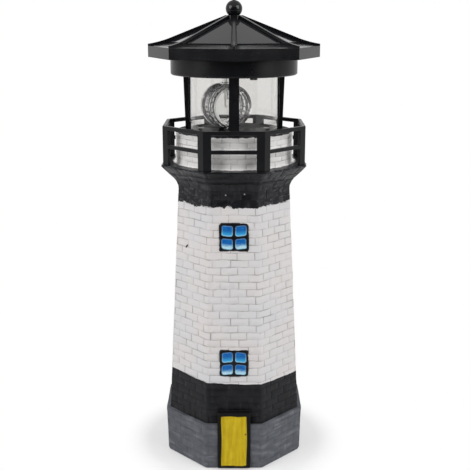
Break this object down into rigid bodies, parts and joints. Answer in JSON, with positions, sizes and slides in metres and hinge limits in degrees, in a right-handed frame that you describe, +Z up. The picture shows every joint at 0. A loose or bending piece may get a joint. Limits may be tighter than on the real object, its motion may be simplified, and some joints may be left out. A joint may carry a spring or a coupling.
{
  "type": "garden lighthouse ornament",
  "caption": "Octagonal brick lighthouse garden ornament with gallery railing, glazed lantern, turning beacon lens and lift-off solar roof.",
  "frame": {"origin": "middle of the foot, on the surface that the ornament stands on", "axes": "+Z up the tower, -Y towards the front with the door, +X to the viewer's right"},
  "size_m": [0.1308, 0.1308, 0.3601],
  "materials": {
    "cast_resin": "painted cast resin with brick relief",
    "black_moulding": "gloss black moulded plastic",
    "solar_cell": "clear epoxy over a dark cell",
    "clear_glazing": "clear moulded plastic",
    "clear_lens": "clear moulded plastic with prism rings",
    "white_nylon": "moulded nylon",
    "black_abs": "moulded plastic",
    "steel": "zinc-plated steel",
    "rubber": "black rubber",
    "foam": "closed-cell foam",
    "led": "clear epoxy lamp",
    "board": "green solder mask",
    "components": "moulded component cases",
    "cell_sleeve": "shrink sleeve",
    "plated_contact": "nickel-plated spring steel"
  },
  "bodies": {
    "tower": {"tower_casting": "cast_resin", "pour_plug": "rubber", "gallery_railing": "black_moulding", "lantern_cage": "black_moulding", "glazing_tube": "clear_glazing", "lens_foot_plate": "black_moulding", "foot_plate_screws": "steel", "lens_pivot": "steel", "geared_motor": "steel", "drive_plate": "black_abs", "drive_plate_screws": "steel", "lamp_tube": "white_nylon", "beacon_led": "led", "circuit_board": "board", "board_parts": "components", "board_screws": "steel", "switch_body": "components", "cell_holder": "black_abs", "rechargeable_cell": "cell_sleeve", "plus_contact": "plated_contact", "minus_contact": "plated_contact", "lid_gasket": "foam"},
    "beacon": {"lens_drum": "clear_lens", "front_lens": "clear_lens", "rear_lens": "clear_lens", "beacon_gear": "white_nylon"},
    "pinion": {"motor_pinion": "white_nylon", "motor_shaft": "steel"},
    "switch": {"switch_knob": "black_abs"},
    "roof": {"roof_shell": "black_moulding", "solar_panels": "solar_cell", "finial_ball": "black_moulding"}
  },
  "joints": [
    {"name": "beacon_turn", "type": "hinge", "parent": "tower", "child": "beacon", "pos_m": [-0.0062, 0, 0.2812], "axis": [0, 0, 1], "continuous": true},
    {"name": "pinion_turn", "type": "hinge", "parent": "tower", "child": "pinion", "pos_m": [0.0103, 0, 0.3099], "axis": [0, 0, 1], "continuous": true},
    {"name": "switch_slide", "type": "slide", "parent": "tower", "child": "switch", "axis": [0.9421, 0.3354, 0], "range_m": [0, 0.003]},
    {"name": "roof_lift", "type": "slide", "parent": "tower", "child": "roof", "axis": [0, 0, 1], "range_m": [0, 0.03]}
  ],
  "couplings": [
    {"joint": "pinion_turn", "follows": "beacon_turn", "ratio": -2.6667}
  ]
}
